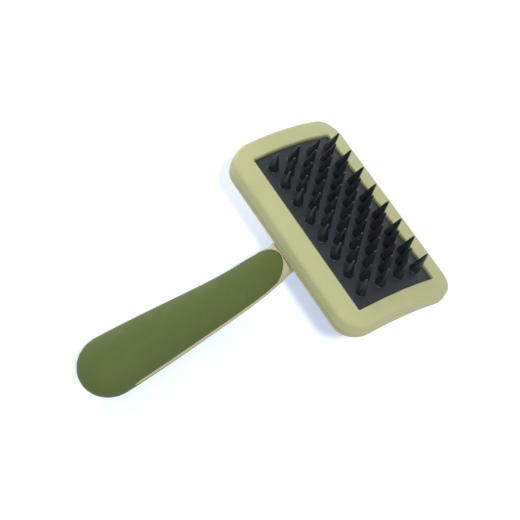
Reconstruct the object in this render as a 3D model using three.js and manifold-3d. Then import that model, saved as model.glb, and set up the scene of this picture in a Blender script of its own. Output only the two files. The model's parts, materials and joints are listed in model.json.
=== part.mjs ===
// Slicker brush with a moulded tooth pad: an arched head on a drooping, soft-gripped handle.
//
// Millimetres. The head is laid out in its own frame: +Z along the teeth, +Y along the head's
// long side, +X away from the handle, and the origin on the pad's surface at the middle of the
// tooth field. The whole brush is then turned and lifted so that it lies on its back on Z = 0,
// teeth up, touching with the far edge of the head and the underside of the handle's butt.

import * as THREE from 'three';
import { mergeVertices } from 'three/addons/utils/BufferGeometryUtils.js';
import Module from 'manifold-3d';

const wasm = await Module();
wasm.setup();

// ---- driving dimensions ----------------------------------------------------------------------

// fits
const seamGap = 0.3; // between pieces that close on each other
const boreGap = 0.3; // around a post, tang or screw in its hole

// tooth field: columns run along the long side, every second one half a pitch out of step
const archRadius = 86; // of the pad's surface, about the long axis
const toothPitch = 9.5; // along a column
const columnStep = 5; // from column to column, along the arch
const columnCount = 7;
const longColumnTeeth = 8; // the columns between hold one tooth fewer
const toothHeight = 10.5;
const toothBaseRadius = 2.4;
const toothTipRadius = 0.5;
const toothRoot = 0.8; // length of each cone below the pad's surface

// head frame: bezel and skirt in one moulding, round the window that the teeth stand in
const windowEndMargin = 6.95; // from the end teeth's axes to the window's short sides
const windowSideMargin = 5.8; // from the outer teeth's axes to its long sides
const bezelEndWidth = 8.8;
const bezelSideWidth = 8.9;
const windowCornerRadius = 0.3;
const bezelRise = 1.2; // bezel face above the pad's surface
const bezelThickness = 2.2;
const frameHeight = 4.9; // bezel face to the bottom of the skirt
const frameCornerRadius = 10.5;
const frameEdgeRadius = 1.4;
const frameDraft = 0.3; // the skirt leans in by this much at the top, on each side
const skirtThickness = 2.2;

// pad flange, held under the bezel
const padFlangeThickness = 1.6;
const padFlangeSlack = 0.8; // round the flange, inside the skirt

// posts that pin the pad's flange and press into the rear shell
const postRadius = 1.6;
const postLength = 6.5;
const postInset = 5.5; // from the skirt's outside to the posts' centres
const midPostOffset = 16; // from the middle of the head, along the long side

// rear shell: a dish with a flat back
const shellInset = 0.1; // rim set in from the skirt
const shellRimHeight = 0.6;
const shellBackDepth = 18.5; // below the pad's surface
const shellSlopeRun = 8; // how far the dish's sloping side comes in
const shellEdgeRun = 3; // how far the rounded edge between side and back comes in
const shellEdgeDrop = 1.6;
const shellWall = 2;
const ribThickness = 1.4;
const crossRibPitch = 18;
const crossRibCount = 4;
const longRibOffset = 10;
const postBossWall = 1.4;

// handle: its centre line runs level as a tang, turns down through the neck, then eases
const tangLift = 7.9; // of the level stretch, above the shell's back
const tangStraight = 7.1;
const neckStartLength = 20.4; // from the frame's side in to where the line starts to turn down
const neckBendLength = 19.2; // length over which it turns down
const neckPitch = 43.5; // degrees
const handleBendLength = 41; // length over which the pitch eases
const handlePitch = 22.3; // degrees
const handleStraight = 57.7; // from there to the end of the butt

// handle sections
const collarEndInset = 4.7; // from the frame's side in to the end of the shell's collar
const collarLength = 9.1;
const neckHalfWidth = 7.3;
const neckHalfThickness = 5;
const waistHalfWidth = 8.6;
const waistRun = 16; // from the grip's front back to the waist
const buttHalfWidth = 13.5;
const handleTopRise = 7.6; // centre line to the top, at the fullest part
const handleBottomDrop = 9.2;
const handleRoundness = 2.35; // exponent of the section: 2 is an ellipse
const buttRound = 14.7; // length over which the butt closes

// exposed rails of the handle core
const railHalfHeight = 1;
const railProud = 0.1;
const railStart = 2; // behind the grip's front
const railStop = 18; // short of the butt's end
const railTaper = 6;

// soft grip
const gripThickness = 2.4;
const gripFrontHalfWidth = 8.6; // of the half ellipse that its front outline follows
const gripFrontRun = 13.5; // length of the half ellipse
const neckExposed = 0.8; // neck between the collar and the grip

// tang and its screws
const tangHalfWidth = 5.8;
const tangHalfThickness = 2.6;
const tangRoomSide = 1.5; // ribs keep this clear of the tang
const tangScrewInset = 3; // from the tang's end to the first screw
const tangScrewSpacing = 8;
const screwHeadRadius = 2.7;
const screwHeadHeight = 1.6;
const screwShankRadius = 1.2;
const screwPointLength = 1.4;
const screwLength = 8.6;
const screwBossWall = 1.7;
const driveSlotLength = 3.2;
const driveSlotWidth = 0.8;
const driveSlotDepth = 0.7;

// ---- sizes that follow -----------------------------------------------------------------------

const outerColumnAngle = (((columnCount - 1) / 2) * columnStep) / archRadius;
const windowLength = (longColumnTeeth - 1) * toothPitch + 2 * windowEndMargin;
const windowWidth = 2 * (archRadius * Math.sin(outerColumnAngle) + windowSideMargin);
const frameLength = windowLength + 2 * bezelEndWidth;
const frameWidth = windowWidth + 2 * bezelSideWidth;

const skirtBottom = bezelRise - frameHeight;
const bezelUnderside = bezelRise - bezelThickness;
const flangeTop = bezelUnderside - seamGap;
const padUnderside = flangeTop - padFlangeThickness;
const lipInset = skirtThickness + seamGap;

const shellBackLevel = -shellBackDepth;
const shellRim = skirtBottom - seamGap;

const tangLevel = shellBackLevel + tangLift;
const tangTop = tangLevel + tangHalfThickness;
const tangBottom = tangLevel - tangHalfThickness;
const tangEnd = -frameWidth / 2 + neckStartLength + tangStraight;
const screwSeat = tangTop + seamGap;

const lineLength = tangStraight + neckBendLength + handleBendLength + handleStraight;

// facets and overshoots that only make clean cuts
const toothSides = 10;
const roundSides = 10;
const archSteps = 8;
const cornerSteps = 5;
const cutOver = 1;

// ---- solids from meshes ----------------------------------------------------------------------

function toSolid(geometry) {
  const bare = geometry.clone();
  bare.deleteAttribute('normal');
  bare.deleteAttribute('uv');
  const merged = mergeVertices(bare, 1e-4);
  const mesh = new wasm.Mesh({
    numProp: 3,
    vertProperties: new Float32Array(merged.attributes.position.array),
    triVerts: new Uint32Array(merged.index.array),
  });
  return new wasm.Manifold(mesh);
}

function toGeometry(solid) {
  const mesh = solid.getMesh();
  const geometry = new THREE.BufferGeometry();
  geometry.setAttribute('position', new THREE.BufferAttribute(mesh.vertProperties, 3));
  geometry.setIndex(new THREE.BufferAttribute(mesh.triVerts, 1));
  geometry.computeVertexNormals();
  return geometry;
}

function unite(solids) {
  return solids.reduce((sum, solid) => sum.add(solid));
}

// Skin over rings of equal length, listed bottom to top or along a path. Points i and n-1-i of a
// ring mirror each other in Y, so strips of quads between them close both ends.
function loft(rings) {
  const n = rings[0].length;
  const last = (rings.length - 1) * n;
  const index = [];
  for (let r = 0; r < last; r += n) {
    for (let i = 0; i < n; i += 1) {
      const j = (i + 1) % n;
      index.push(r + i, r + j, r + n + j, r + i, r + n + j, r + n + i);
    }
  }
  for (let i = 0; i < n / 2 - 1; i += 1) {
    const m = n - 1 - i;
    index.push(i, m - 1, i + 1, i, m, m - 1);
    index.push(last + i, last + i + 1, last + m - 1, last + i, last + m - 1, last + m);
  }
  const geometry = new THREE.BufferGeometry();
  const points = rings.flat().flatMap((p) => [p.x, p.y, p.z]);
  geometry.setAttribute('position', new THREE.Float32BufferAttribute(points, 3));
  geometry.setIndex(index);
  return toSolid(geometry);
}

// Upright cylinder at a place seen from above, between two levels.
function column(radius, { x, y }, bottom, top) {
  const geometry = new THREE.CylinderGeometry(radius, radius, top - bottom, roundSides);
  geometry.rotateX(Math.PI / 2);
  return toSolid(geometry).translate([x, y, (bottom + top) / 2]);
}

function box(sizeX, sizeY, sizeZ, x, y, z) {
  return toSolid(new THREE.BoxGeometry(sizeX, sizeY, sizeZ)).translate([x, y, z]);
}

// ---- the arched head -------------------------------------------------------------------------

// Level at x of the arched surface that lies `rise` outside the pad's surface.
function arch(rise, x) {
  const radius = archRadius + rise;
  return rise - radius + Math.sqrt(radius * radius - x * x);
}

// Rounded rectangle round the head's axis, each point at the level given by its x.
function headRing(halfWidth, halfLength, radius, level) {
  const quarter = [];
  for (let i = 0; i <= cornerSteps; i += 1) {
    const angle = (i / cornerSteps) * (Math.PI / 2);
    const x = halfWidth - radius + radius * Math.cos(angle);
    quarter.push([x, halfLength - radius + radius * Math.sin(angle)]);
  }
  const end = [];
  for (let i = 1; i < archSteps; i += 1) {
    end.push([(halfWidth - radius) * (1 - (2 * i) / archSteps), halfLength]);
  }
  const farQuarter = quarter.map(([x, y]) => [-x, y]).reverse();
  const half = [...quarter, ...end, ...farQuarter];
  const mirrored = half.map(([x, y]) => [x, -y]).reverse();
  return [...half, ...mirrored].map(([x, y]) => new THREE.Vector3(x, y, level(x)));
}

// Ring on the arched surface `rise`, set in from the frame's outline by `inset`.
function frameRing(inset, rise) {
  return headRing(
    frameWidth / 2 - inset,
    frameLength / 2 - inset,
    frameCornerRadius - inset,
    (x) => arch(rise, x),
  );
}

// Block between two arched surfaces, set in from the frame's outline.
function frameBlock(inset, bottomRise, topRise) {
  return loft([frameRing(inset, bottomRise), frameRing(inset, topRise)]);
}

// Block between two arched surfaces in the outline of the window.
function windowBlock(clearance, bottomRise, topRise) {
  const ring = (rise) => headRing(
    windowWidth / 2 - clearance,
    windowLength / 2 - clearance,
    windowCornerRadius,
    (x) => arch(rise, x),
  );
  return loft([ring(bottomRise), ring(topRise)]);
}

// Two posts along each long side, and one in each corner, all as far in from the outline.
function postCentres() {
  const cornerShift = (frameCornerRadius - postInset) * (1 - Math.SQRT1_2);
  const x = frameWidth / 2 - postInset;
  const cornerX = x - cornerShift;
  const cornerY = frameLength / 2 - postInset - cornerShift;
  const quarter = [new THREE.Vector2(x, midPostOffset), new THREE.Vector2(cornerX, cornerY)];
  const signs = [[1, 1], [1, -1], [-1, 1], [-1, -1]];
  return signs.flatMap(([sx, sy]) => quarter.map((p) => new THREE.Vector2(sx * p.x, sy * p.y)));
}

// Level of a post's foot, given its place.
function postFoot({ x }) {
  return arch(bezelUnderside, x) - postLength;
}

// ---- head frame ------------------------------------------------------------------------------

function frameOutside() {
  const rings = [frameRing(0, skirtBottom)];
  const steps = 4;
  for (let i = 0; i <= steps; i += 1) {
    const angle = (i / steps) * (Math.PI / 2);
    const inset = frameDraft + frameEdgeRadius * (1 - Math.cos(angle));
    rings.push(frameRing(inset, bezelRise - frameEdgeRadius * (1 - Math.sin(angle))));
  }
  return loft(rings);
}

function headFrame() {
  const hollow = frameBlock(skirtThickness, skirtBottom - cutOver, bezelUnderside);
  const posts = postCentres().map((place) => {
    const root = arch(bezelUnderside, place.x) + bezelThickness / 2;
    return column(postRadius, place, postFoot(place), root);
  });
  const window = windowBlock(0, skirtBottom, bezelRise + cutOver);
  return unite([frameOutside().subtract(hollow), ...posts]).subtract(window);
}

// ---- tooth pad -------------------------------------------------------------------------------

// One cone standing on the origin, with its root below and a rounded tip.
function toothGeometry() {
  const shoulder = toothHeight - toothTipRadius;
  const slope = (toothBaseRadius - toothTipRadius) / shoulder;
  const diagonal = Math.SQRT1_2 * toothTipRadius;
  const profile = [
    new THREE.Vector2(0, -toothRoot),
    new THREE.Vector2(toothBaseRadius + slope * toothRoot, -toothRoot),
    new THREE.Vector2(toothTipRadius, shoulder),
    new THREE.Vector2(diagonal, shoulder + diagonal),
    new THREE.Vector2(0, toothHeight),
  ];
  const geometry = new THREE.LatheGeometry(profile, toothSides);
  geometry.rotateX(Math.PI / 2);
  return geometry;
}

// Places of the teeth: angle round the arch, and distance along the head.
function toothPlaces() {
  const places = [];
  for (let c = 0; c < columnCount; c += 1) {
    const teeth = longColumnTeeth - (c % 2);
    const angle = (c * columnStep) / archRadius - outerColumnAngle;
    for (let t = 0; t < teeth; t += 1) {
      places.push({ angle, y: (t - (teeth - 1) / 2) * toothPitch });
    }
  }
  return places;
}

function toothPad() {
  const flange = frameBlock(skirtThickness + padFlangeSlack, padUnderside, flangeTop);
  const plateau = windowBlock(seamGap, padUnderside, 0);
  const holes = postCentres().map((place) => {
    return column(postRadius + boreGap, place, postFoot(place), 0);
  });
  const tooth = toothGeometry();
  const teeth = toothPlaces().map(({ angle, y }) => {
    const geometry = tooth.clone();
    geometry.translate(0, 0, archRadius);
    geometry.rotateY(angle);
    geometry.translate(0, y, -archRadius);
    return toSolid(geometry);
  });
  return unite([flange.add(plateau).subtract(unite(holes)), ...teeth]);
}

// ---- the handle's centre line and sections ---------------------------------------------------

const smooth = THREE.MathUtils.smoothstep;
const mix = THREE.MathUtils.lerp;

// Angle below the level at a distance along the line from the tang's end.
function pitchAt(distance) {
  const bendEnd = tangStraight + neckBendLength;
  const down = neckPitch * smooth(distance, tangStraight, bendEnd);
  const eased = (neckPitch - handlePitch) * smooth(distance, bendEnd, bendEnd + handleBendLength);
  return THREE.MathUtils.degToRad(down - eased);
}

function linePoint(distance) {
  const steps = 150;
  const step = distance / steps;
  const point = new THREE.Vector3(tangEnd, 0, tangLevel);
  for (let i = 0; i < steps; i += 1) {
    const pitch = pitchAt((i + 0.5) * step);
    point.x -= step * Math.cos(pitch);
    point.z -= step * Math.sin(pitch);
  }
  return point;
}

// Distance along the line at which it passes under a given x.
function distanceAt(x) {
  let low = 0;
  let high = lineLength;
  for (let i = 0; i < 30; i += 1) {
    const middle = (low + high) / 2;
    if (linePoint(middle).x > x) {
      low = middle;
    } else {
      high = middle;
    }
  }
  return low;
}

const collarEnd = distanceAt(-frameWidth / 2 + collarEndInset);
const gripFront = collarEnd + seamGap + neckExposed;
const railEnd = lineLength - railStop;

// Half width, rise and drop of the handle's full section at a distance along the line.
function handleSection(distance) {
  const past = Math.max(0, distance - gripFront);
  const along = past / (lineLength - gripFront);
  const waist = mix(neckHalfWidth, waistHalfWidth, smooth(past, 0, waistRun));
  const swell = smooth(along, 0, 0.75);
  return {
    halfWidth: mix(waist, buttHalfWidth, smooth(along, 0, 1)),
    rise: mix(neckHalfThickness, handleTopRise, swell),
    drop: mix(neckHalfThickness, handleBottomDrop, swell),
  };
}

// How much of the section is left as the butt closes over its last stretch.
function buttClosing(distance, end) {
  const past = Math.max(0, distance - (end - buttRound)) / buttRound;
  return Math.sqrt(Math.max(0, 1 - past * past));
}

// Section styles: superellipse exponent, and points on each side of the plane of symmetry.
const outer = { exponent: handleRoundness, points: 11 };
const hidden = { exponent: handleRoundness, points: 7 };
const strip = { exponent: 12, points: 6 };
const squared = { exponent: 5, points: 6 };

// Superellipse ring square to the centre line, from its underside round by -Y.
function handleRing(distance, { halfWidth, rise, drop }, { exponent, points }) {
  const pitch = pitchAt(distance);
  const centre = linePoint(distance);
  const up = new THREE.Vector3(-Math.sin(pitch), 0, Math.cos(pitch));
  const half = [];
  for (let i = 0; i < points; i += 1) {
    const angle = ((i + 0.5) / points - 0.5) * Math.PI;
    const side = -halfWidth * Math.cos(angle) ** (2 / exponent);
    const reach = Math.abs(Math.sin(angle)) ** (2 / exponent);
    half.push({ side, lift: angle > 0 ? rise * reach : -drop * reach });
  }
  const mirrored = half.map(({ side, lift }) => ({ side: -side, lift })).reverse();
  return [...half, ...mirrored].map(({ side, lift }) => {
    return new THREE.Vector3(0, side, 0).addScaledVector(up, lift).add(centre);
  });
}

// Loft along the centre line through the given distances; `section` gives the size at each.
function alongHandle(distances, section, style) {
  return loft(distances.map((distance) => handleRing(distance, section(distance), style)));
}

function evenly(start, end, steps) {
  return Array.from({ length: steps + 1 }, (_, i) => mix(start, end, i / steps));
}

// The handle's outside from `start` to the butt, or the same shape drawn in by `inset`.
function handleBody(start, inset, steps, style) {
  const end = lineLength - inset;
  const section = (distance) => {
    const { halfWidth, rise, drop } = handleSection(distance);
    const closing = Math.max(0.02, buttClosing(distance, end));
    return {
      halfWidth: (halfWidth - inset) * closing,
      rise: (rise - inset) * closing,
      drop: (drop - inset) * closing,
    };
  };
  const body = evenly(start, end - buttRound, steps);
  const turns = evenly(0, Math.PI / 2, Math.round(steps / 3)).slice(1);
  const butt = turns.map((angle) => end - buttRound + buttRound * Math.sin(angle));
  return alongHandle([...body, ...butt], section, style);
}

// ---- tang ------------------------------------------------------------------------------------

const screwPlaces = [0, 1].map((i) => {
  return new THREE.Vector2(tangEnd - tangScrewInset - i * tangScrewSpacing, 0);
});

function tang(clearance) {
  const section = () => ({
    halfWidth: tangHalfWidth + clearance,
    rise: tangHalfThickness + clearance,
    drop: tangHalfThickness + clearance,
  });
  return alongHandle(evenly(-clearance, collarEnd + cutOver, 7), section, squared);
}

// ---- rear shell ------------------------------------------------------------------------------

function shellRing(inset, level) {
  return headRing(
    frameWidth / 2 - shellInset - inset,
    frameLength / 2 - shellInset - inset,
    frameCornerRadius - shellInset - inset / 2,
    level,
  );
}

function shellOutside() {
  const edgeLevel = shellBackLevel + shellEdgeDrop;
  return loft([
    shellRing(shellSlopeRun + shellEdgeRun, () => shellBackLevel),
    shellRing(shellSlopeRun + shellEdgeRun / 3, () => shellBackLevel + shellEdgeDrop / 3),
    shellRing(shellSlopeRun, () => edgeLevel),
    shellRing(0, (x) => arch(shellRim - shellRimHeight, x)),
    shellRing(0, (x) => arch(shellRim, x)),
  ]);
}

function shellHollow() {
  const floor = shellBackLevel + shellWall;
  return loft([
    shellRing(shellSlopeRun + shellEdgeRun, () => floor),
    shellRing(shellSlopeRun + shellWall, () => floor + shellEdgeDrop),
    shellRing(shellWall, (x) => arch(shellRim - shellRimHeight, x)),
    shellRing(shellWall, (x) => arch(shellRim + cutOver, x)),
  ]);
}

// Lip that enters the frame's skirt and holds the pad's flange up against the bezel.
function shellLip() {
  const inner = lipInset + ribThickness;
  const top = padUnderside - seamGap;
  const bottom = shellRim - shellRimHeight;
  const inside = frameBlock(inner, bottom - cutOver, top + cutOver);
  return frameBlock(lipInset, bottom, top).subtract(inside);
}

// The room that ribs and bosses may fill: inside the shell, and up to the pad inside the lip.
function shellRoom() {
  const underPad = frameBlock(lipInset, shellBackLevel, padUnderside - seamGap);
  const insideLip = frameBlock(lipInset, shellRim - shellRimHeight, padUnderside);
  return underPad.intersect(shellOutside().add(insideLip));
}

// Ribs across and along the shell, cut away round the tang.
function shellRibs() {
  const middle = shellBackLevel / 2;
  const ribs = [];
  for (let i = 0; i < crossRibCount; i += 1) {
    const y = (i - (crossRibCount - 1) / 2) * crossRibPitch;
    ribs.push(box(frameWidth, ribThickness, shellBackDepth, 0, y, middle));
  }
  for (const side of [-1, 1]) {
    ribs.push(box(ribThickness, frameLength, shellBackDepth, side * longRibOffset, 0, middle));
  }
  const roomLength = tangEnd + tangRoomSide + frameWidth / 2;
  const roomWidth = 2 * (tangHalfWidth + tangRoomSide);
  const roomBottom = tangBottom - seamGap;
  const tangRoom = box(
    roomLength,
    roomWidth,
    -roomBottom,
    (roomLength - frameWidth) / 2,
    0,
    roomBottom / 2,
  );
  return unite(ribs).subtract(tangRoom);
}

function rearShell() {
  const neck = () => ({
    halfWidth: neckHalfWidth,
    rise: neckHalfThickness,
    drop: neckHalfThickness,
  });
  const collar = alongHandle(evenly(collarEnd - collarLength, collarEnd, 4), neck, outer);
  const postBosses = postCentres().map((place) => {
    return column(postRadius + boreGap + postBossWall, place, shellBackLevel, 0);
  });
  const postBores = postCentres().map((place) => {
    return column(postRadius + boreGap, place, postFoot(place) - seamGap, 0);
  });
  const screwBosses = screwPlaces.map((place) => {
    const radius = screwShankRadius + boreGap + screwBossWall;
    return column(radius, place, shellBackLevel + shellWall / 2, tangBottom - seamGap);
  });
  const screwBores = screwPlaces.map((place) => {
    return column(screwShankRadius + boreGap, place, screwSeat - screwLength - seamGap, 0);
  });
  const screwHeadRooms = screwPlaces.map((place) => {
    return column(screwHeadRadius + boreGap, place, tangTop, shellRim);
  });
  const inside = unite([shellRibs(), ...postBosses]).intersect(shellRoom());
  const walls = shellOutside().subtract(shellHollow());
  const body = unite([walls, inside, shellLip(), collar, ...screwBosses]);
  return body.subtract(unite([tang(boreGap), ...postBores, ...screwBores, ...screwHeadRooms]));
}

// ---- handle core and grip --------------------------------------------------------------------

// Outline of the soft grip seen square to the handle, extruded through its whole depth.
function gripBlock(clearance) {
  const front = linePoint(gripFront);
  const direction = linePoint(gripFront + gripFrontRun).sub(front).normalize();
  const run = gripFrontRun - clearance;
  const halfWidth = gripFrontHalfWidth - clearance;
  const reach = lineLength;
  const shape = new THREE.Shape();
  shape.moveTo(gripFrontRun, -halfWidth);
  shape.lineTo(gripFrontRun, -reach);
  shape.lineTo(reach, -reach);
  shape.lineTo(reach, reach);
  shape.lineTo(gripFrontRun, reach);
  shape.lineTo(gripFrontRun, halfWidth);
  shape.absellipse(gripFrontRun, 0, run, halfWidth, Math.PI / 2, (3 * Math.PI) / 2, false, 0);
  const geometry = new THREE.ExtrudeGeometry(shape, {
    depth: 2 * reach,
    bevelEnabled: false,
    curveSegments: 16,
  });
  geometry.translate(0, 0, -reach);
  const basis = new THREE.Matrix4().makeBasis(
    direction,
    new THREE.Vector3(0, 1, 0),
    new THREE.Vector3(-direction.z, 0, direction.x),
  );
  geometry.applyMatrix4(basis);
  geometry.translate(front.x, front.y, front.z);
  return toSolid(geometry);
}

// Strips of the core that show along both sides of the grip and dive under it towards the butt.
function rails(clearance) {
  const end = railEnd + clearance;
  const section = (distance) => {
    const left = Math.min(1, (end - distance) / railTaper);
    const inward = (1 - Math.sqrt(Math.max(0, left))) * (gripThickness + railProud);
    return {
      halfWidth: handleSection(distance).halfWidth + railProud - inward,
      rise: railHalfHeight + clearance,
      drop: railHalfHeight + clearance,
    };
  };
  return alongHandle(evenly(gripFront + railStart, end, 14), section, strip);
}

function innerCore(clearance) {
  return handleBody(gripFront, gripThickness - clearance, 10, hidden);
}

function handleCore() {
  const neck = handleBody(collarEnd + seamGap, 0, 15, outer).subtract(gripBlock(0));
  const holes = screwPlaces.map((place) => {
    return column(screwShankRadius + boreGap, place, tangBottom - cutOver, tangTop + cutOver);
  });
  return unite([neck, innerCore(0), rails(0), tang(0)]).subtract(unite(holes));
}

function handleGrip() {
  const outside = handleBody(gripFront - gripThickness, 0, 20, outer);
  const skin = outside.intersect(gripBlock(seamGap));
  return skin.subtract(innerCore(seamGap)).subtract(rails(seamGap));
}

// ---- tang screws -----------------------------------------------------------------------------

function tangScrew({ x, y }) {
  const profile = [
    new THREE.Vector2(0, -screwLength),
    new THREE.Vector2(screwShankRadius / 2, -screwLength),
    new THREE.Vector2(screwShankRadius, -screwLength + screwPointLength),
    new THREE.Vector2(screwShankRadius, 0),
    new THREE.Vector2(screwHeadRadius, 0),
    new THREE.Vector2(screwHeadRadius, screwHeadHeight / 2),
    new THREE.Vector2(screwHeadRadius * 0.8, screwHeadHeight * 0.9),
    new THREE.Vector2(screwHeadRadius / 2, screwHeadHeight),
    new THREE.Vector2(0, screwHeadHeight),
  ];
  const geometry = new THREE.LatheGeometry(profile, roundSides);
  geometry.rotateX(Math.PI / 2);
  const slotHeight = driveSlotDepth + cutOver;
  const slotLevel = screwHeadHeight - driveSlotDepth + slotHeight / 2;
  const slots = unite([
    box(driveSlotLength, driveSlotWidth, slotHeight, 0, 0, slotLevel),
    box(driveSlotWidth, driveSlotLength, slotHeight, 0, 0, slotLevel),
  ]);
  return toSolid(geometry).subtract(slots).translate([x, y, screwSeat]);
}

// ---- the assembly ----------------------------------------------------------------------------

const finishes = {
  sage: { color: 0xb9bb8a, roughness: 0.42, metalness: 0 },
  core: { color: 0xbdb189, roughness: 0.45, metalness: 0 },
  pad: { color: 0x24282e, roughness: 0.5, metalness: 0 },
  grip: { color: 0x5c6f38, roughness: 0.8, metalness: 0 },
  steel: { color: 0x9a9da0, roughness: 0.35, metalness: 0.9 },
};

function piece(name, solid, finish) {
  const mesh = new THREE.Mesh(toGeometry(solid), new THREE.MeshStandardMaterial(finishes[finish]));
  mesh.name = name;
  return mesh;
}

const rear = rearShell();
const grip = handleGrip();

const brush = new THREE.Group();
brush.add(piece('head_frame', headFrame(), 'sage'));
brush.add(piece('tooth_pad', toothPad(), 'pad'));
brush.add(piece('rear_shell', rear, 'sage'));
brush.add(piece('handle_core', handleCore(), 'core'));
brush.add(piece('handle_grip', grip, 'grip'));
screwPlaces.forEach((place, i) => {
  brush.add(piece(`tang_screw_${i + 1}`, tangScrew(place), 'steel'));
});

// Angle at which a straight edge laid under the brush touches both the head and the butt.
function restAngle(headPoints, buttPoints) {
  let angle = 0;
  const lowest = (points) => {
    const depth = (p) => p.z * Math.cos(angle) - p.x * Math.sin(angle);
    return points.reduce((best, p) => (depth(p) < depth(best) ? p : best));
  };
  for (let i = 0; i < 12; i += 1) {
    const head = lowest(headPoints);
    const butt = lowest(buttPoints);
    angle = Math.atan2(head.z - butt.z, head.x - butt.x);
  }
  return angle;
}

function meshPoints(solid) {
  const values = solid.getMesh().vertProperties;
  const points = [];
  for (let i = 0; i < values.length; i += 3) {
    points.push(new THREE.Vector3(values[i], values[i + 1], values[i + 2]));
  }
  return points;
}

const model = new THREE.Group();
brush.rotation.y = restAngle(meshPoints(rear), meshPoints(grip));
model.add(brush);
model.updateMatrixWorld(true);
const bounds = new THREE.Box3().setFromObject(model, true);
const centre = bounds.getCenter(new THREE.Vector3());
brush.position.set(-centre.x, -centre.y, -bounds.min.z);

export default model;
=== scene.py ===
import json
import math

import bmesh
import bpy
import numpy as np
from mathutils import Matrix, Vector


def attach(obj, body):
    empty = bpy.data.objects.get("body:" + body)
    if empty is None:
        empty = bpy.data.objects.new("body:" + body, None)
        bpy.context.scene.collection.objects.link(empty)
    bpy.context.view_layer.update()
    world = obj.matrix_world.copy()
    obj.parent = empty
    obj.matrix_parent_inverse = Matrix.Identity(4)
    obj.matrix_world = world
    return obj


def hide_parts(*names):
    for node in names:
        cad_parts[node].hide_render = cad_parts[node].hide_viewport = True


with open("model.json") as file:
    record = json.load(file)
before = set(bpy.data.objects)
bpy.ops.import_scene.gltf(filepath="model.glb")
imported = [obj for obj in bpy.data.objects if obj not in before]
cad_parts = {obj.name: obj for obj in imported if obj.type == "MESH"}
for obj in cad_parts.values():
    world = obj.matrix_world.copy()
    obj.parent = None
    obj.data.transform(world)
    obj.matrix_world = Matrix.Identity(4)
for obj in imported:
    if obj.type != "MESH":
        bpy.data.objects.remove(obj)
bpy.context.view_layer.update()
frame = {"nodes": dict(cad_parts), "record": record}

# Looks of a slicker brush with a moulded tooth pad. The brush's own lengths are in millimetres,
# in the head's frame: +Z along the teeth, +Y along the head's long side, +X away from the handle,
# and the origin on the pad's surface at the middle of the tooth field. The stage's and the
# materials' lengths are in metres.

MM = 0.001

# ---- sizes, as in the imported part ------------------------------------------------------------

SEAM = 0.3

ARCH_RADIUS = 86.0
TOOTH_PITCH = 9.5
COLUMN_STEP = 5.0
COLUMN_COUNT = 7
LONG_COLUMN_TEETH = 8
TOOTH_HEIGHT = 10.5
TOOTH_BASE_RADIUS = 2.4
TOOTH_TIP_RADIUS = 0.5

BEZEL_RISE = 1.2
BEZEL_THICKNESS = 2.2
FRAME_HEIGHT = 4.9
FRAME_CORNER_RADIUS = 10.5
FRAME_EDGE_RADIUS = 1.4
FRAME_DRAFT = 0.3
SKIRT_THICKNESS = 2.2
WINDOW_END_MARGIN = 6.95
WINDOW_SIDE_MARGIN = 5.8
BEZEL_END_WIDTH = 8.8
BEZEL_SIDE_WIDTH = 8.9

FLANGE_THICKNESS = 1.6
FLANGE_SLACK = 0.8

SHELL_INSET = 0.1
SHELL_RIM_HEIGHT = 0.6
SHELL_BACK_DEPTH = 18.5
SHELL_SLOPE_RUN = 8.0
SHELL_EDGE_RUN = 3.0
SHELL_EDGE_DROP = 1.6

TANG_LIFT = 7.9
TANG_STRAIGHT = 7.1
NECK_INSET = 20.4
NECK_BEND = 19.2
NECK_PITCH = math.radians(43.5)
HANDLE_BEND = 41.0
HANDLE_PITCH = math.radians(22.3)
HANDLE_STRAIGHT = 57.7
COLLAR_END_INSET = 4.7
COLLAR_LENGTH = 9.1
NECK_HALF_WIDTH = 7.3
NECK_HALF_THICKNESS = 5.0
NECK_EXPOSED = 0.8
WAIST_HALF_WIDTH = 8.6
WAIST_RUN = 16.0
BUTT_HALF_WIDTH = 13.5
BUTT_ROUND = 14.7
HANDLE_TOP_RISE = 7.6
HANDLE_BOTTOM_DROP = 9.12  # 0.08 less than in the part, whose flat facets a round skin would pass
HANDLE_ROUNDNESS = 2.35
HANDLE_SWELL = 0.75  # share of the grip's length at which it is at its thickest
RAIL_HALF_HEIGHT = 1.0
RAIL_PROUD = 0.1
RAIL_STOP = 18.0
RAIL_TAPER = 6.0
GRIP_THICKNESS = 2.4
GRIP_FRONT_HALF_WIDTH = 8.6
GRIP_FRONT_RUN = 13.5

# ---- edges and seams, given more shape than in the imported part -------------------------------

FINE_SEAM = 0.12

FOOT_EDGE = 0.12
WINDOW_EDGE = 0.65
WINDOW_CORNER_RADIUS = 0.5  # 0.2 more than in the part
UNDERSIDE_CORNER = 0.4  # bevel inside the frame, between the bezel's underside and the skirt

PAD_EDGE = 0.45
PAD_RING_SHARES = (0.94, 0.8, 0.6, 0.4, 0.2, 0.02)  # of the way from the middle to the edge
TOOTH_FILLET = 0.25
TOOTH_SINK = 0.05  # how far a cone's foot goes into the pad

SHELL_LIP_RISE = 1.5  # how far the shell's inner lip stands above its rim
GROOVE_DEPTH = 2.0
GROOVE_WALL_INSET = 0.2
RIM_EDGE = ((0.12, 0.05), (0.06, 0.0), (0.0, 0.1))  # inset and drop of each ring over the rim
SHELL_EDGE_TURN = 1.3  # inset past the slope's run at which side and back would meet unrounded

COLLAR_REACH = 0.5  # how far the collar and the neck's seam lie beyond the part's
COLLAR_EDGE = 0.15
SEAM_DEPTH = 2.0  # between the collar and the neck

EDGE_RADIUS = 0.55  # the overmoulding's edge, round its front and its two slots
EDGE_WALL = 1.3
FRONT_SPREAD = 50.0  # how far back the grip's rows still follow its rounded front
FRONT_REACH = 0.985  # share of the front's half width at which its outline is cut off

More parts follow.
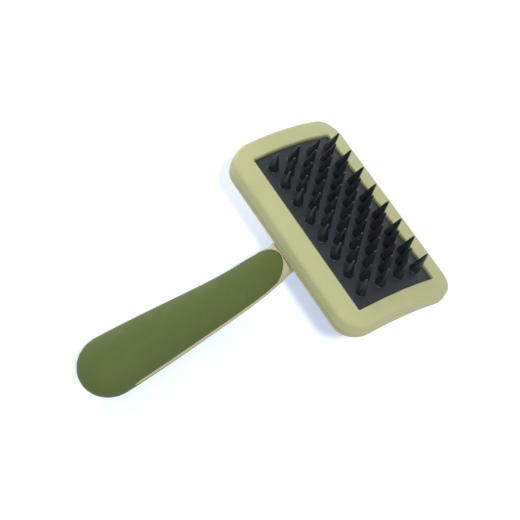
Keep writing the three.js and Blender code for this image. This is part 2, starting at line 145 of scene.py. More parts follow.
LIP_RISE = 0.22  # the core's raised lip in front of the grip
LIP_WIDTH = 0.7
LIP_SHAPE = ((0.25, 0.6), (0.45, 1.0), (0.7, 0.95), (0.9, 0.5), (1.0, -0.5))  # width, rise
LIP_BACK_DEPTH = 1.4
LIP_START = (0.9 * RAIL_HALF_HEIGHT, 1.3 * RAIL_HALF_HEIGHT)  # lifts over which it comes up

CORE_SINK = 1.25  # depth below the grip's skin of the core inside it
CORE_FRONT = 1.0  # how far that core goes on in front of the grip
CORE_STOP = 3.0

RAIL_FRONT = 1.0  # how far behind the grip's front the rail begins
RAIL_SUNK = 0.25  # how far below the skin it is there
RAIL_EMERGES = (3.0, 14.0)  # how far behind the front it comes up to the skin
RAIL_DIVE = 0.35  # how far it goes down again where it closes
RAIL_BULGE = 0.5
RAIL_SQUARENESS = 0.6  # exponent of its face: 1 is round, 0 is square

# ---- how finely curves are divided -----------------------------------------------------------

CORNER_POINTS = 14
SIDE_POINTS = 20
BEZEL_STEPS = 6
UNDERSIDE_STEPS = 3
SLOPE_RINGS = 11
SHELL_EDGE_RINGS = 8
CONE_POINTS = 28
FLANK_RINGS = 6
LINE_STEPS = 2600
COLLAR_POINTS = 80
NECK_POINTS = 120
NECK_RINGS = 23
CORE_POINTS = 40
CORE_RINGS = 50
RAIL_POINTS = 15
RAIL_RINGS = 80
CLOSING_RINGS = 14
GRIP_POINTS = 44  # across each half, between the edges of its slots
BEHIND_RAIL_RINGS = 5
BUTT_RINGS = 25
CROSSING_ROUNDS = 6
FRONT_ROUNDS = 4

MERGE_DISTANCE = 2e-6  # metres
SHORTEST_EDGE = 1e-6  # metres
LEAST_CLOSING = 1e-6
LEAST_LIFT = 1e-9

# ---- sizes that follow -----------------------------------------------------------------------

OUTER_ANGLE = (COLUMN_COUNT - 1) / 2 * COLUMN_STEP / ARCH_RADIUS
WINDOW_LENGTH = (LONG_COLUMN_TEETH - 1) * TOOTH_PITCH + 2 * WINDOW_END_MARGIN
WINDOW_WIDTH = 2 * (ARCH_RADIUS * math.sin(OUTER_ANGLE) + WINDOW_SIDE_MARGIN)
FRAME_LENGTH = WINDOW_LENGTH + 2 * BEZEL_END_WIDTH
FRAME_WIDTH = WINDOW_WIDTH + 2 * BEZEL_SIDE_WIDTH
SKIRT_BOTTOM = BEZEL_RISE - FRAME_HEIGHT
BEZEL_UNDERSIDE = BEZEL_RISE - BEZEL_THICKNESS
FLANGE_TOP = BEZEL_UNDERSIDE - SEAM
PAD_UNDERSIDE = FLANGE_TOP - FLANGE_THICKNESS
SHELL_RIM = SKIRT_BOTTOM - SEAM
LINE_LENGTH = TANG_STRAIGHT + NECK_BEND + HANDLE_BEND + HANDLE_STRAIGHT

# ---- from the head's frame to the row's ------------------------------------------------------

# The flat back's mount gives the tilt and the place of the whole brush.
BACK = frame["record"]["mounts"][0]
HEAD_Z = -np.array(BACK["axis"])
HEAD_Y = np.array([0.0, 1.0, 0.0])
HEAD_X = np.cross(HEAD_Y, HEAD_Z)
TILT = math.atan2(HEAD_Z[0], HEAD_Z[2])
HEAD_ORIGIN = np.array(BACK["pos_m"]) + HEAD_Z * SHELL_BACK_DEPTH * MM


def to_row(points):
    """Points of the head's frame, in millimetres, as points of the row frame, in metres."""
    p = np.asarray(points, float) * MM
    return HEAD_ORIGIN + p[..., :1] * HEAD_X + p[..., 1:2] * HEAD_Y + p[..., 2:] * HEAD_Z


# ---- numbers ---------------------------------------------------------------------------------


def mix(a, b, t):
    """The value that lies a share t of the way from a to b."""
    return a + (b - a) * t


def shares(count):
    """Even shares, from the first one after 0 up to 1."""
    return np.linspace(0, 1, count + 1)[1:]


def smoothstep(x, a, b):
    """0 up to a, 1 from b on, and an eased rise between them."""
    t = np.clip((x - a) / (b - a), 0, 1)
    return t * t * (3 - 2 * t)


def power(value, exponent):
    """A power of the value's size that keeps its sign."""
    return np.sign(value) * np.abs(value) ** exponent


def quarter_turn(steps):
    """Sine and cosine over a quarter turn, for rounding an edge."""
    angles = np.linspace(0, math.pi / 2, steps + 1)
    return list(zip(np.sin(angles), np.cos(angles)))


def full_turn(count):
    """Even angles round a full turn."""
    return np.linspace(0, 2 * math.pi, count, endpoint=False)


# ---- mesh building ---------------------------------------------------------------------------


def grid_faces(rows, cols, wrap_rows, wrap_cols, start):
    """Quads over a grid of points, numbered row by row from `start`."""
    faces = []
    for r in range(rows if wrap_rows else rows - 1):
        for c in range(cols if wrap_cols else cols - 1):
            r1, c1 = (r + 1) % rows, (c + 1) % cols
            corners = (r * cols + c, r * cols + c1, r1 * cols + c1, r1 * cols + c)
            faces.append(tuple(start + i for i in corners))
    return faces


class Shape:
    """Points and faces that one piece is put together from, in the head's frame."""

    def __init__(self):
        self.points = []
        self.faces = []

    def grid(self, points, wrap_rows=False, wrap_cols=False, close_start=False, close_end=False):
        """Add a grid of points, rows by columns; one face may close its first or last row."""
        rows, cols = points.shape[:2]
        start = len(self.points)
        self.points.extend(points.reshape(-1, 3))
        self.faces.extend(grid_faces(rows, cols, wrap_rows, wrap_cols, start))
        if close_start:
            self.faces.append(tuple(start + i for i in reversed(range(cols))))
        if close_end:
            self.faces.append(tuple(start + (rows - 1) * cols + i for i in range(cols)))

    def piece(self, name, material, node, sharp):
        """Make the object, which rides on the part's one body in place of a CAD node."""
        mesh = bpy.data.meshes.new(name)
        mesh.from_pydata(to_row(np.array(self.points)).tolist(), [], self.faces)
        mesh.validate()
        merge_and_turn_outward(mesh)
        mesh.shade_smooth()
        mesh.set_sharp_from_angle(angle=math.radians(sharp))
        mesh.materials.append(material)
        obj = bpy.data.objects.new(name, mesh)
        bpy.context.scene.collection.objects.link(obj)
        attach(obj, "root")
        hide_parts(node)


def merge_and_turn_outward(mesh):
    """Join points that coincide, drop faces without area, and turn the others outward."""
    bm = bmesh.new()
    bm.from_mesh(mesh)
    bmesh.ops.remove_doubles(bm, verts=bm.verts, dist=MERGE_DISTANCE)
    bmesh.ops.dissolve_degenerate(bm, edges=bm.edges, dist=SHORTEST_EDGE)
    bmesh.ops.recalc_face_normals(bm, faces=bm.faces)
    bm.to_mesh(mesh)
    bm.free()


# ---- the arched head -------------------------------------------------------------------------


def arch(rise, x):
    """Level at x of the arched surface that lies `rise` outside the pad's surface."""
    radius = ARCH_RADIUS + rise
    return rise - radius + np.sqrt(radius * radius - x * x)


def outline(half_width, half_length, radius):
    """Rounded rectangle, seen along the teeth, with as many points whatever its size."""
    x, y = half_width - radius, half_length - radius
    centres = np.array([(x, y), (-x, y), (-x, -y), (x, -y)])
    corner = np.linspace(0, math.pi / 2, CORNER_POINTS)
    points = []
    for k, centre in enumerate(centres):
        angles = corner + k * math.pi / 2
        arc = centre + radius * np.stack([np.cos(angles), np.sin(angles)], 1)
        side = centres[(k + 1) % 4] - centre
        points.extend(arc)
        points.extend(arc[-1] + side * t for t in shares(SIDE_POINTS + 1)[:-1])
    return np.array(points)


def frame_outline(inset):
    """The skirt's outline at its foot, moved in by an inset."""
    return outline(FRAME_WIDTH / 2 - inset, FRAME_LENGTH / 2 - inset, FRAME_CORNER_RADIUS - inset)


def window_outline(outset):
    """The window's outline, moved out by an outset."""
    radius = WINDOW_CORNER_RADIUS + outset
    return outline(WINDOW_WIDTH / 2 + outset, WINDOW_LENGTH / 2 + outset, radius)


def shell_outline(inset):
    """The rear shell's outline at its rim, moved in; its corners tighten half as fast."""
    half_width = FRAME_WIDTH / 2 - SHELL_INSET - inset
    half_length = FRAME_LENGTH / 2 - SHELL_INSET - inset
    return outline(half_width, half_length, FRAME_CORNER_RADIUS - SHELL_INSET - inset / 2)


def arched_ring(points, rise):
    """An outline laid on the arched surface at a rise."""
    return np.column_stack([points, arch(rise, points[:, 0])])


def flat_ring(points, level):
    """An outline at one level, or at a level for each of its points."""
    return np.column_stack([points, level * np.ones(len(points))])


def make_frame(material):
    """The bezel with its skirt: foot, side, rounded edge, face, window and underside."""
    rings = []
    for s, c in quarter_turn(steps=3):
        foot = frame_outline(FOOT_EDGE * (1 - s))
        rings.append(arched_ring(foot, SKIRT_BOTTOM + FOOT_EDGE * (1 - c)))
    for s, c in quarter_turn(steps=10):
        side = frame_outline(FRAME_DRAFT + FRAME_EDGE_RADIUS * (1 - c))
        rings.append(arched_ring(side, BEZEL_RISE - FRAME_EDGE_RADIUS * (1 - s)))
    outer = frame_outline(FRAME_DRAFT + FRAME_EDGE_RADIUS)
    inner = window_outline(WINDOW_EDGE)
    for t in shares(BEZEL_STEPS)[:-1]:
        rings.append(arched_ring(mix(outer, inner, t), BEZEL_RISE))
    for s, c in quarter_turn(steps=5):
        edge = window_outline(WINDOW_EDGE * (1 - s))
        rings.append(arched_ring(edge, BEZEL_RISE - WINDOW_EDGE * (1 - c)))
    window = window_outline(0)
    under = frame_outline(SKIRT_THICKNESS + UNDERSIDE_CORNER)
    rings.append(arched_ring(window, BEZEL_UNDERSIDE))
    for t in shares(UNDERSIDE_STEPS):
        rings.append(arched_ring(mix(window, under, t), BEZEL_UNDERSIDE))
    skirt = frame_outline(SKIRT_THICKNESS)
    rings.append(arched_ring(skirt, BEZEL_UNDERSIDE - UNDERSIDE_CORNER))
    rings.append(arched_ring(skirt, SKIRT_BOTTOM))
    shape = Shape()
    shape.grid(np.array(rings), wrap_rows=True, wrap_cols=True)
    shape.piece("bezel_frame", material, "head_frame", sharp=40)


# ---- tooth pad -------------------------------------------------------------------------------


def make_pad_sheet(material):
    """The pad's flange and its middle, which comes up through the window."""
    flange = frame_outline(SKIRT_THICKNESS + FLANGE_SLACK)
    rings = [arched_ring(flange, PAD_UNDERSIDE), arched_ring(flange, FLANGE_TOP)]
    rings.append(arched_ring(window_outline(-SEAM), FLANGE_TOP))
    for s, c in quarter_turn(steps=4):
        edge = window_outline(-SEAM - PAD_EDGE * (1 - c))
        rings.append(arched_ring(edge, -PAD_EDGE * (1 - s)))
    top = window_outline(-SEAM - PAD_EDGE)
    rings.extend(arched_ring(top * t, 0) for t in PAD_RING_SHARES)
    shape = Shape()
    shape.grid(np.array(rings), wrap_cols=True, close_start=True, close_end=True)
    shape.piece("pad_sheet", material, "tooth_pad", sharp=60)


def tooth_places():
    """Angle round the arch and place along it of each tooth, column by column."""
    for column in range(COLUMN_COUNT):
        teeth = LONG_COLUMN_TEETH - column % 2
        angle = column * COLUMN_STEP / ARCH_RADIUS - OUTER_ANGLE
        for t in range(teeth):
            yield angle, (t - (teeth - 1) / 2) * TOOTH_PITCH


def tooth_profile():
    """Radius and height up one cone: a small fillet, a straight flank and a round tip."""
    shoulder = TOOTH_HEIGHT - TOOTH_TIP_RADIUS
    slope = (TOOTH_BASE_RADIUS - TOOTH_TIP_RADIUS) / shoulder
    foot = []
    for s, c in quarter_turn(steps=4):
        radius = TOOTH_BASE_RADIUS - slope * TOOTH_FILLET + TOOTH_FILLET * (1 - s)
        foot.append((radius, TOOTH_FILLET * (1 - c) - TOOTH_SINK))
    heights = mix(TOOTH_FILLET, shoulder, shares(FLANK_RINGS))
    flank = [(TOOTH_BASE_RADIUS - slope * h, h) for h in heights]
    turn = quarter_turn(steps=5)[1:-1]
    tip = [(TOOTH_TIP_RADIUS * c, shoulder + TOOTH_TIP_RADIUS * s) for s, c in turn]
    return foot + flank + tip


def make_teeth(material):
    """The cones, each square to the arch at its place."""
    radius, height = np.array(tooth_profile()).T[:, :, None]
    turn = full_turn(CONE_POINTS)
    across, along = radius * np.cos(turn), radius * np.sin(turn)
    up = ARCH_RADIUS + height * np.ones_like(turn)
    shape = Shape()
    for angle, y in tooth_places():
        s, c = math.sin(angle), math.cos(angle)
        x = across * c + up * s
        z = up * c - across * s - ARCH_RADIUS
        shape.grid(np.stack([x, along + y, z], -1), wrap_cols=True, close_end=True)
    shape.piece("teeth", material, "tooth_pad", sharp=60)


# ---- the handle's centre line and sections ---------------------------------------------------


def pitch_at(distance):
    """Slope of the centre line at a distance along it from the head's end of the tang."""
    bend_end = TANG_STRAIGHT + NECK_BEND
    down = NECK_PITCH * smoothstep(distance, TANG_STRAIGHT, bend_end)
    eased = (NECK_PITCH - HANDLE_PITCH) * smoothstep(distance, bend_end, bend_end + HANDLE_BEND)
    return down - eased


def centre_line():
    """Distances along the line, and x and z there."""
    distance = np.linspace(0, LINE_LENGTH, LINE_STEPS + 1)
    step = distance[1]
    pitch = pitch_at(distance[:-1] + step / 2)
    start = -FRAME_WIDTH / 2 + NECK_INSET + TANG_STRAIGHT
    x = start - np.append(0, np.cumsum(step * np.cos(pitch)))
    z = TANG_LIFT - SHELL_BACK_DEPTH - np.append(0, np.cumsum(step * np.sin(pitch)))
    return distance, x, z


LINE = centre_line()
COLLAR_END = float(np.interp(FRAME_WIDTH / 2 - COLLAR_END_INSET, -LINE[1], LINE[0]))
GRIP_FRONT = COLLAR_END + SEAM + NECK_EXPOSED
RAIL_END = LINE_LENGTH - RAIL_STOP
BUTT_START = LINE_LENGTH - BUTT_ROUND


def section_size(distance):
    """Half width, rise and drop of the handle's section."""
    past = np.maximum(0, distance - GRIP_FRONT)
    along = past / (LINE_LENGTH - GRIP_FRONT)
    waist = mix(NECK_HALF_WIDTH, WAIST_HALF_WIDTH, smoothstep(past, 0, WAIST_RUN))
    swell = smoothstep(along, 0, HANDLE_SWELL)
    beyond = np.maximum(0, distance - BUTT_START) / BUTT_ROUND
    closing = np.sqrt(np.maximum(LEAST_CLOSING, 1 - beyond * beyond))
    half_width = mix(waist, BUTT_HALF_WIDTH, smoothstep(along, 0, 1)) * closing
    rise = mix(NECK_HALF_THICKNESS, HANDLE_TOP_RISE, swell) * closing
    drop = mix(NECK_HALF_THICKNESS, HANDLE_BOTTOM_DROP, swell) * closing
    return half_width, rise, drop


def on_handle(distance, side, lift):
    """Points at a distance along the line, `side` across it and `lift` square above it."""
    pitch = pitch_at(distance)
    x = np.interp(distance, LINE[0], LINE[1]) - lift * np.sin(pitch)
    z = np.interp(distance, LINE[0], LINE[2]) + lift * np.cos(pitch)
    return np.stack(np.broadcast_arrays(x, side, z), -1)


def skin(distance, angle, sink=0.0):
    """Points of the handle's skin: angle 0 is the +Y side and a quarter turn is the top."""
    half_width, rise, drop = section_size(distance)
    side = (half_width - sink) * power(np.cos(angle), 2 / HANDLE_ROUNDNESS)
    reach = power(np.sin(angle), 2 / HANDLE_ROUNDNESS)
    lift = np.where(reach > 0, (rise - sink) * reach, (drop - sink) * reach)
    return on_handle(distance, side, lift)


def skin_lift(distance, angle):
    """Lift of the skin above or below the line at an angle."""
    _, rise, drop = section_size(distance)
    reach = power(np.sin(angle), 2 / HANDLE_ROUNDNESS)
    return np.where(reach > 0, rise * reach, drop * reach)


def angle_at_lift(distance, lift):
    """Angle, at the +Y side, at which the skin has a given lift above or below the line."""
    _, rise, drop = section_size(distance)
    share = np.where(lift > 0, lift / rise, lift / drop)
    return np.sign(share) * np.arcsin(np.minimum(1, np.abs(share)) ** (HANDLE_ROUNDNESS / 2))


def grip_front_at(angle):
    """Distance at which the rounded front outline of the grip crosses the skin at an angle."""
    distance = np.full_like(angle, GRIP_FRONT)
    for _ in range(CROSSING_ROUNDS):
        side = section_size(distance)[0] * np.abs(power(np.cos(angle), 2 / HANDLE_ROUNDNESS))
        across = np.minimum(FRONT_REACH, side / GRIP_FRONT_HALF_WIDTH)
        distance = GRIP_FRONT + GRIP_FRONT_RUN * (1 - np.sqrt(1 - across * across))
    return distance


def rail_stations(start, end, taper):
    """Distances along a rail or its slot, closer together round its closing end."""
    turn = np.linspace(0, math.pi / 2, CLOSING_RINGS)
    straight = np.linspace(start, end - taper, RAIL_RINGS)[:-1]
    return np.concatenate([straight, end - taper * (1 - np.sin(turn))])


def closing_at(distance, end, taper):
    """Share of its height that a rail or its slot still has, closing to a round end."""
    left = np.clip((end - distance) / taper, 0, 1)
    return np.sqrt(left * (2 - left))


# ---- grip ------------------------------------------------------------------------------------


def slot_half_height(distance):
    """Half height of the slot in the grip that a rail shows through."""
    return (RAIL_HALF_HEIGHT + SEAM) * closing_at(distance, RAIL_END, RAIL_TAPER)


def edge_steps():
    """Distances in from an edge, and depths below the skin, round the overmoulding's edge."""
    turn = [(EDGE_RADIUS * (1 - c), EDGE_RADIUS * (1 - s)) for s, c in quarter_turn(steps=5)]
    return np.array([(0.0, EDGE_WALL)] + turn).T


def edge_fade(distance):
    """Share of the edge's rounding and wall that is left where the slot closes."""
    return np.clip(slot_half_height(distance) / (RAIL_HALF_HEIGHT / 2), 0, 1)


def slot_edge_angle(distance, sign, reach):
    """Angle, above or below the +Y side, at which the skin lies `reach` outside the slot."""
    lift = slot_half_height(distance) + reach * edge_fade(distance)
    return np.abs(angle_at_lift(distance, sign * np.maximum(lift, LEAST_LIFT)))


def grip_half(sign):
    """The grip above or below its rails, from its front edge to the butt."""
    edge_in, edge_depth = edge_steps()
    first_body = GRIP_FRONT + EDGE_RADIUS
    rail_part = rail_stations(first_body, RAIL_END, RAIL_TAPER)[1:]
    body = np.append(rail_part, mix(RAIL_END, BUTT_START, shares(BEHIND_RAIL_RINGS)))
    spread = np.clip(1 - (body - first_body) / FRONT_SPREAD, 0, 1) ** 2
    butt = BUTT_START + BUTT_ROUND * np.sin(shares(BUTT_RINGS) * math.pi / 2)
    inner = shares(GRIP_POINTS + 1)[:-1]
    cols = 2 * len(edge_in) + len(inner)
    first_angle = np.linspace(0, math.pi, cols)
    for _ in range(FRONT_ROUNDS):
        front = grip_front_at(first_angle)
        first = front + edge_in[:, None]
        middle = body[:, None] + (front - GRIP_FRONT) * spread[:, None]
        last = butt[:, None] * np.ones((1, cols))
        distance = np.concatenate([first, middle, last])
        near, far = [], []
        for i, reach in enumerate(edge_in):
            near.append(slot_edge_angle(distance[:, i], sign, reach))
            far.append(math.pi - slot_edge_angle(distance[:, -1 - i], sign, reach))
        left, right = np.stack(near, 1), np.stack(far[::-1], 1)
        angle = np.concatenate([left, mix(left[:, -1:], right[:, :1], inner), right], 1)
        first_angle = angle[0]
    side_profile = np.concatenate([edge_depth, np.zeros(len(inner)), edge_depth[::-1]])
    row_profile = np.concatenate([edge_depth, np.zeros(len(body) + len(butt))])
    depth = np.maximum(row_profile[:, None], side_profile * edge_fade(distance))
    return skin(distance, sign * angle, depth)


def make_grip(material):
    """The overmoulding, which wraps the butt and leaves a slot along each side."""
    shape = Shape()
    for sign in (1, -1):
        shape.grid(grip_half(sign))
    shape.piece("soft_grip", material, "handle_grip", sharp=50)


# ---- handle core -----------------------------------------------------------------------------


def rail(side_sign):
    """One side strip of the core, which closes to a round end inside the grip's slot."""
    end = RAIL_END - SEAM
    taper = RAIL_TAPER - SEAM
    distance = rail_stations(GRIP_FRONT + RAIL_FRONT, end, taper)[:, None]
    closing = closing_at(distance, end, taper)
    emerging = smoothstep(distance - GRIP_FRONT, *RAIL_EMERGES)
    proud = mix(-RAIL_SUNK, RAIL_PROUD, emerging) - RAIL_DIVE * (1 - closing)
    around = np.linspace(-math.pi / 2, math.pi / 2, RAIL_POINTS)[None, :]
    half_width = section_size(distance)[0]
    face = half_width + proud + RAIL_BULGE * (power(np.cos(around), RAIL_SQUARENESS) - 1)
    back = half_width - GRIP_THICKNESS
    edge = RAIL_HALF_HEIGHT * closing
    lifts = np.concatenate([-edge, edge * power(np.sin(around), RAIL_SQUARENESS), edge], 1)
    sides = np.concatenate([back, face, back], 1)
    return on_handle(distance * np.ones_like(sides), side_sign * sides, lifts)


def neck():
    """The bare neck from its seam with the collar to the raised lip in front of the grip."""
    columns = full_turn(NECK_POINTS)
    front = grip_front_at(columns) - FINE_SEAM
    start = COLLAR_END + COLLAR_REACH + FINE_SEAM
    lip_share = smoothstep(np.abs(skin_lift(front, columns)), *LIP_START)
    rows, sinks = [np.full_like(columns, start)], [np.full_like(columns, SEAM_DEPTH)]
    for s, c in quarter_turn(steps=4):
        rows.append(np.full_like(columns, start + COLLAR_EDGE * (1 - c)))
        sinks.append(np.full_like(columns, COLLAR_EDGE * (1 - s)))
    for t in shares(NECK_RINGS):
        rows.append(mix(start + COLLAR_EDGE, front - LIP_WIDTH, t))
        sinks.append(np.zeros_like(columns))
    for t, rise in LIP_SHAPE:
        rows.append(front - LIP_WIDTH * (1 - t))
        sinks.append(-LIP_RISE * rise * lip_share)
    rows.append(front)
    sinks.append(LIP_BACK_DEPTH * lip_share)
    return skin(np.array(rows), np.array([columns] * len(rows)), np.array(sinks))


def make_core(material):
    """The neck, the two rails and the hidden body that joins them inside the grip."""
    shape = Shape()
    shape.grid(neck(), wrap_cols=True)
    rings = np.linspace(GRIP_FRONT - CORE_FRONT, LINE_LENGTH - CORE_STOP, CORE_RINGS)
    distance, angle = np.meshgrid(rings, full_turn(CORE_POINTS), indexing="ij")
    shape.grid(skin(distance, angle, CORE_SINK), wrap_cols=True, close_start=True, close_end=True)
    for side_sign in (-1, 1):
        shape.grid(rail(side_sign), close_start=True, close_end=True)
    shape.piece("core", material, "handle_core", sharp=40)


# ---- rear shell ------------------------------------------------------------------------------


def dish():
    """The shell's lip, the groove under the frame, its rim, sloping side, edge and flat back."""
    back = -SHELL_BACK_DEPTH
    lip = frame_outline(SKIRT_THICKNESS + SEAM)
    groove = SHELL_RIM - GROOVE_DEPTH
    rings = [arched_ring(lip, SHELL_RIM + SHELL_LIP_RISE), arched_ring(lip, groove)]
    rings.append(arched_ring(shell_outline(GROOVE_WALL_INSET), groove))
    rings.extend(arched_ring(shell_outline(inset), SHELL_RIM - drop) for inset, drop in RIM_EDGE)
    rim = arched_ring(shell_outline(0), SHELL_RIM - SHELL_RIM_HEIGHT)
    rings.append(rim)
    for t in shares(SLOPE_RINGS):
        level = mix(rim[:, 2], back + SHELL_EDGE_DROP, t)
        rings.append(flat_ring(shell_outline(SHELL_SLOPE_RUN * t), level))
    for t in shares(SHELL_EDGE_RINGS):
        inset = SHELL_SLOPE_RUN + 2 * t * (1 - t) * SHELL_EDGE_TURN + t * t * SHELL_EDGE_RUN
        rings.append(flat_ring(shell_outline(inset), back + SHELL_EDGE_DROP * (1 - t) ** 2))
    return np.array(rings)


def collar():
    """The sleeve round the neck, with a rounded edge and an end face."""
    end = COLLAR_END + COLLAR_REACH
    rows = [(COLLAR_END - COLLAR_LENGTH, 0.0), (end - COLLAR_EDGE, 0.0)]
    for s, c in quarter_turn(steps=4)[1:]:
        rows.append((end - COLLAR_EDGE * (1 - s), COLLAR_EDGE * (1 - c)))
    rows.append((end, SEAM_DEPTH))
    distance, sink = np.array(rows).T[:, :, None] * np.ones(COLLAR_POINTS)
    return skin(distance, full_turn(COLLAR_POINTS) * np.ones_like(distance), sink)


def make_shell(material):
    """The dish under the frame and the collar that the neck comes out of."""
    shape = Shape()
    shape.grid(dish(), wrap_cols=True, close_end=True)
    shape.grid(collar(), wrap_cols=True, close_start=True, close_end=True)
    shape.piece("back_shell", material, "rear_shell", sharp=40)


# ---- materials -------------------------------------------------------------------------------

# Colours as 0 to 255 on screen: the main one, and the one that slow clouds turn it to.
SAGE = ((185, 187, 138), (181, 183, 133))
SHELL_SAGE = ((183, 185, 136), (179, 181, 131))
SAND = ((199, 195, 155), (194, 190, 149))
OLIVE = ((90, 104, 53), (85, 99, 49))
# The pad's blue tint is partly the rubber's own colour and partly a painted reflection of the sky.
PAD_CHARCOAL_AND_SKY_SHEEN = ((29, 36, 44), (22, 28, 35))
# The teeth are the pad's rubber; their lighter teal tone is partly its own charcoal and partly a
# painted highlight on the flanks.
TOOTH_CHARCOAL_AND_HIGHLIGHT = ((33, 43, 47), (23, 30, 35))
PAPER = ((246, 246, 246), (243, 243, 243))
STEEL = (165, 168, 172)

STREAK_RATE = 0.16  # how fast the streaks of a tooth change along it, against across it


class Nodes:
    """A short way to write a material's node tree."""

    def __init__(self, name):
        self.material = bpy.data.materials.new(name)
        self.material.use_nodes = True
        self.tree = self.material.node_tree
        self.shader = self.tree.nodes["Principled BSDF"]
        self.coordinates = self.tree.nodes.new("ShaderNodeTexCoord").outputs["Object"]

    def node(self, kind, links):
        """A new node with its sockets set or linked."""
        node = self.tree.nodes.new(kind)
        for socket, value in links.items():
            self.put(node, socket, value)
        return node

    def put(self, node, socket, value):
        """Set a socket to a plain value, or link it to another node's output."""
        if isinstance(value, bpy.types.NodeSocket):
            self.tree.links.new(value, node.inputs[socket])
        else:
            node.inputs[socket].default_value = value

    def set(self, **values):
        """Set or link sockets of the shader, with _ for each space in a socket's name."""
        for socket, value in values.items():
            self.put(self.shader, socket.replace("_", " "), value)

    def noise(self, scale, detail=2.0, roughness=0.5):
        """Noise with `scale` cells in a metre."""
        links = {"Vector": self.coordinates, "Scale": scale}
        links.update({"Detail": detail, "Roughness": roughness})
        return self.node("ShaderNodeTexNoise", links).outputs["Fac"]

    def ramp(self, value, low, high, to_low=0.0, to_high=1.0):
        """A value from low to high, as a value from to_low to to_high."""
        links = {"Value": value, "From Min": low, "From Max": high}
        links.update({"To Min": to_low, "To Max": to_high})
        return self.node("ShaderNodeMapRange", links).outputs["Result"]

    def blend(self, share, tones):
        """A colour between two. A Mix node's colour sockets share their names, so go by number."""
        mixer = self.tree.nodes.new("ShaderNodeMix")
        mixer.data_type = "RGBA"
        for socket, value in ((0, share), (6, colour(*tones[0])), (7, colour(*tones[1]))):
            self.put(mixer, socket, value)
        return mixer.outputs[2]

    def bump(self, height, distance, strength):
        """A normal bumped by a height of `distance` metres."""
        links = {"Height": height, "Distance": distance, "Strength": strength}
        return self.node("ShaderNodeBump", links).outputs["Normal"]


def colour(red, green, blue):
    """A colour read as 0 to 255 on screen, as linear light by the sRGB curve."""
    levels = [value / 255 for value in (red, green, blue)]
    linear = [v / 12.92 if v <= 0.04045 else ((v + 0.055) / 1.055) ** 2.4 for v in levels]
    return (*linear, 1.0)


def moulded_plastic(name, tones):
    """Satin moulded plastic: slow clouds of colour and gloss, and a very fine grain."""
    n = Nodes(name)
    cloud = n.ramp(n.noise(scale=45, detail=3), low=0.35, high=0.65)
    gloss = n.noise(scale=220)
    n.set(Base_Color=n.blend(cloud, tones))
    n.set(Roughness=n.ramp(gloss, low=0.3, high=0.7, to_low=0.5, to_high=0.61))
    n.set(Normal=n.bump(n.noise(scale=2600), distance=0.00002, strength=0.35))
    n.set(IOR=1.47)
    return n.material


def grip_rubber():
    """Matte overmoulded rubber with a fine grain."""
    n = Nodes("grip_rubber")
    cloud = n.ramp(n.noise(scale=60, detail=3), low=0.3, high=0.7)
    gloss = n.noise(scale=300)
    grain = n.noise(scale=3200, detail=3, roughness=0.6)
    n.set(Base_Color=n.blend(cloud, OLIVE))
    n.set(Roughness=n.ramp(gloss, low=0.3, high=0.7, to_low=0.62, to_high=0.74))
    n.set(Normal=n.bump(grain, distance=0.00005, strength=0.5))
    n.set(Specular_IOR_Level=0.25)
    return n.material


def pad_rubber():
    """Charcoal sheet rubber, satin, with a fine grain; its blue tint is partly the rubber's own
    colour and partly a painted reflection of the sky.
    """
    n = Nodes("pad_rubber")
    cloud = n.ramp(n.noise(scale=160, detail=4, roughness=0.6), low=0.35, high=0.65)
    gloss = n.noise(scale=700)
    grain = n.noise(scale=2400, detail=3, roughness=0.6)
    n.set(Base_Color=n.blend(cloud, PAD_CHARCOAL_AND_SKY_SHEEN))
    n.set(Roughness=n.ramp(gloss, low=0.3, high=0.7, to_low=0.42, to_high=0.56))
    n.set(Normal=n.bump(grain, distance=0.00004, strength=0.5))
    n.set(Specular_IOR_Level=0.42)
    return n.material


def tooth_rubber():
    """Glossier dark rubber, with moulding streaks that run along the teeth; the same rubber as the
    pad, its lighter teal tone partly a painted highlight.
    """
    n = Nodes("tooth_rubber")
    links = {"Vector": n.coordinates, "Rotation": (0, -TILT, 0), "Scale": (1, 1, STREAK_RATE)}
    n.coordinates = n.node("ShaderNodeMapping", links).outputs["Vector"]
    streaks = n.noise(scale=900, detail=3, roughness=0.6)
    cloud = n.ramp(n.noise(scale=420, detail=3, roughness=0.6), low=0.35, high=0.65)
    n.set(Base_Color=n.blend(cloud, TOOTH_CHARCOAL_AND_HIGHLIGHT))
    n.set(Roughness=n.ramp(streaks, low=0.3, high=0.7, to_low=0.18, to_high=0.42))
    n.set(Normal=n.bump(streaks, distance=0.00015, strength=0.7))
    return n.material


def screw_steel():
    """Brushed bright steel."""
    n = Nodes("screw_steel")
    gloss = n.noise(scale=900)
    n.set(Metallic=1.0, Base_Color=colour(*STEEL))
    n.set(Roughness=n.ramp(gloss, low=0.3, high=0.7, to_low=0.25, to_high=0.4))
    return n.material


# ---- stage -----------------------------------------------------------------------------------

FLOOR_HALF = 2.0
FLOOR_DROP = 0.0003
FLOOR_GLOW = (0.28, 0.35, 0.53, 1.0)

SUN_DIRECTION = (0.02, -0.41, 0.93)
SUN_ANGLE = math.radians(9.0)
SUN_ENERGY = 1.66
SUN_TINT = (1.0, 0.99, 0.97)

FILL_DIRECTION = (0.05, 0.88, 0.42)
FILL_DISTANCE = 1.0
FILL_SIZE = 0.7
FILL_ENERGY = 6.2

WORLD_TINT = (0.98, 0.99, 1.0, 1.0)
WORLD_STRENGTH = 0.35
WHITE = (1.0, 1.0, 1.0, 1.0)

CAMERA_PLACE = (-0.115305, -0.191365, 0.555303)
CAMERA_TURN = (23.487, -0.445, -32.1172)
CAMERA_LENS = 96.923
CAMERA_SENSOR = 36.0
CAMERA_CLIP = (0.01, 20.0)


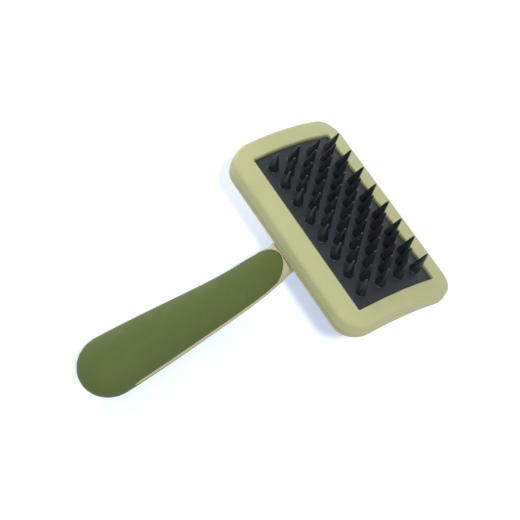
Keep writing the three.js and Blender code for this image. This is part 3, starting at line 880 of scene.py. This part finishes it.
def seen_ray(tree):
    """1 on rays that the camera, a mirror or glass looks along, and 0 on those that carry light."""
    rays = tree.nodes.new("ShaderNodeLightPath").outputs
    seen = rays["Is Camera Ray"]
    for kind in ("Is Glossy Ray", "Is Transmission Ray"):
        either = tree.nodes.new("ShaderNodeMath")
        either.operation = "MAXIMUM"
        tree.links.new(seen, either.inputs[0])
        tree.links.new(rays[kind], either.inputs[1])
        seen = either.outputs[0]
    return seen


def floor_material():
    """White paper, which the camera and mirror rays see a little brighter and bluer."""
    n = Nodes("floor_paper")
    n.set(Base_Color=n.blend(n.noise(scale=4), PAPER))
    n.set(Roughness=0.9, Specular_IOR_Level=0.0)
    n.set(Emission_Color=FLOOR_GLOW, Emission_Strength=seen_ray(n.tree))
    return n.material


def make_floor():
    """A wide flat sheet just below the brush."""
    mesh = bpy.data.meshes.new("floor")
    signs = ((-1, -1), (1, -1), (1, 1), (-1, 1))
    corners = [(FLOOR_HALF * sx, FLOOR_HALF * sy, -FLOOR_DROP) for sx, sy in signs]
    mesh.from_pydata(corners, [], [(0, 1, 2, 3)])
    mesh.materials.append(floor_material())
    floor = bpy.data.objects.new("floor", mesh)
    bpy.context.scene.collection.objects.link(floor)


def make_lamp(kind, name, direction, distance=0.0, **settings):
    """A lamp that shines from a direction on the middle of the brush."""
    data = bpy.data.lights.new(name, kind)
    for key, value in settings.items():
        setattr(data, key, value)
    lamp = bpy.data.objects.new(name, data)
    toward = Vector(direction).normalized()
    lamp.location = toward * distance
    lamp.rotation_euler = toward.to_track_quat("Z", "Y").to_euler()
    bpy.context.scene.collection.objects.link(lamp)


def make_lights():
    """A soft sun from the near side and a wide lamp, lower, from the far side."""
    sun = {"angle": SUN_ANGLE, "energy": SUN_ENERGY, "color": SUN_TINT}
    make_lamp("SUN", "key", SUN_DIRECTION, **sun)
    disk = {"shape": "DISK", "size": FILL_SIZE, "energy": FILL_ENERGY}
    make_lamp("AREA", "fill", FILL_DIRECTION, FILL_DISTANCE, **disk)


def make_world():
    """Plain grey light, and a white backdrop for the rays that see it."""
    world = bpy.data.worlds.new("studio")
    world.use_nodes = True
    tree = world.node_tree
    light = tree.nodes["Background"]
    light.inputs["Color"].default_value = WORLD_TINT
    light.inputs["Strength"].default_value = WORLD_STRENGTH
    backdrop = tree.nodes.new("ShaderNodeBackground")
    backdrop.inputs["Color"].default_value = WHITE
    either = tree.nodes.new("ShaderNodeMixShader")
    tree.links.new(seen_ray(tree), either.inputs["Fac"])
    tree.links.new(light.outputs[0], either.inputs[1])
    tree.links.new(backdrop.outputs[0], either.inputs[2])
    tree.links.new(either.outputs[0], tree.nodes["World Output"].inputs["Surface"])
    bpy.context.scene.world = world


def make_camera():
    """A long lens above the handle's side, looking down on the brush."""
    data = bpy.data.cameras.new("camera")
    data.sensor_width = CAMERA_SENSOR
    data.lens = CAMERA_LENS
    data.clip_start, data.clip_end = CAMERA_CLIP
    camera = bpy.data.objects.new("camera", data)
    camera.location = CAMERA_PLACE
    camera.rotation_euler = [math.radians(a) for a in CAMERA_TURN]
    bpy.context.scene.collection.objects.link(camera)
    bpy.context.scene.camera = camera


# ---- the scene -------------------------------------------------------------------------------

make_camera()
make_floor()
make_lights()
make_world()
make_frame(moulded_plastic("sage_plastic", SAGE))
make_pad_sheet(pad_rubber())
make_teeth(tooth_rubber())
make_shell(moulded_plastic("shell_plastic", SHELL_SAGE))
make_grip(grip_rubber())
make_core(moulded_plastic("sand_plastic", SAND))
steel = screw_steel()
for screw in ("tang_screw_1", "tang_screw_2"):
    slots = frame["nodes"][screw].data.materials
    slots.clear()
    slots.append(steel)

bpy.context.scene.view_settings.view_transform = "Standard"
